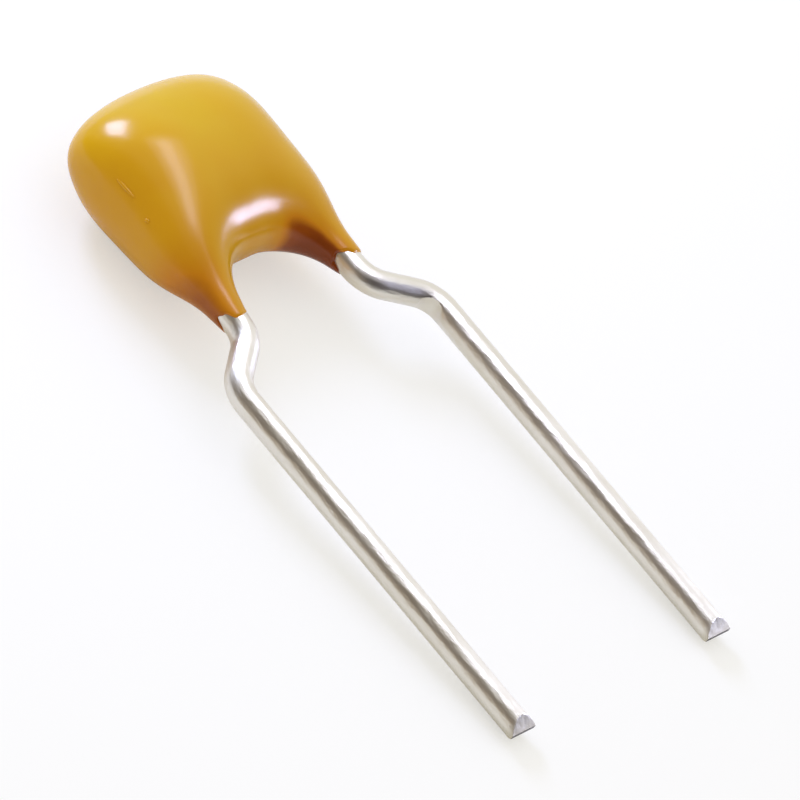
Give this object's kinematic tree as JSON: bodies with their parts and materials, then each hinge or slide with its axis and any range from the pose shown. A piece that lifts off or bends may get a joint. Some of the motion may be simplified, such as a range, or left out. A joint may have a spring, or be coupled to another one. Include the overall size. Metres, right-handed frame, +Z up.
{
  "type": "dipped multilayer ceramic capacitor",
  "caption": "Small ochre epoxy-dipped ceramic capacitor lying flat, with a pair of straight tinned wire leads kinked outwards below the body.",
  "frame": {"origin": "on the surface the part lies on, under the middle of its whole box", "axes": "+Z up from that surface, +Y from the wire tips towards the coated body, +X from the left wire to the right wire, seen from above with the body at the far end"},
  "size_m": [0.0056, 0.0134, 0.0022],
  "materials": {
    "ochre_epoxy": "glossy dipped epoxy, yellow ochre",
    "tinned_wire": "bright tinned wire, faintly drawn along its length",
    "fired_ceramic": "matt sintered ceramic, tan",
    "electrode_metal": "thin fired metal film",
    "solder": "dull solder",
    "fired_base_metal": "fired copper thick film, matt",
    "nickel_plating": "satin nickel plating",
    "tin_plating": "matt tin plating"
  },
  "bodies": {
    "root": {"ceramic_body": "fired_ceramic", "epoxy_coating": "ochre_epoxy", "left_base_metal": "fired_base_metal", "left_electrode_01": "electrode_metal", "left_electrode_02": "electrode_metal", "left_electrode_03": "electrode_metal", "left_electrode_04": "electrode_metal", "left_electrode_05": "electrode_metal", "left_electrode_06": "electrode_metal", "left_electrode_07": "electrode_metal", "left_electrode_08": "electrode_metal", "left_electrode_09": "electrode_metal", "left_electrode_10": "electrode_metal", "left_electrode_11": "electrode_metal", "left_electrode_12": "electrode_metal", "left_electrode_13": "electrode_metal", "left_electrode_14": "electrode_metal", "left_electrode_15": "electrode_metal", "left_electrode_16": "electrode_metal", "left_electrode_17": "electrode_metal", "left_electrode_18": "electrode_metal", "left_lead": "tinned_wire", "left_nickel_barrier": "nickel_plating", "left_solder": "solder", "left_tin_finish": "tin_plating", "right_base_metal": "fired_base_metal", "right_electrode_01": "electrode_metal", "right_electrode_02": "electrode_metal", "right_electrode_03": "electrode_metal", "right_electrode_04": "electrode_metal", "right_electrode_05": "electrode_metal", "right_electrode_06": "electrode_metal", "right_electrode_07": "electrode_metal", "right_electrode_08": "electrode_metal", "right_electrode_09": "electrode_metal", "right_electrode_10": "electrode_metal", "right_electrode_11": "electrode_metal", "right_electrode_12": "electrode_metal", "right_electrode_13": "electrode_metal", "right_electrode_14": "electrode_metal", "right_electrode_15": "electrode_metal", "right_electrode_16": "electrode_metal", "right_electrode_17": "electrode_metal", "right_electrode_18": "electrode_metal", "right_lead": "tinned_wire", "right_nickel_barrier": "nickel_plating", "right_solder": "solder", "right_tin_finish": "tin_plating"}
  },
  "joints": []
}
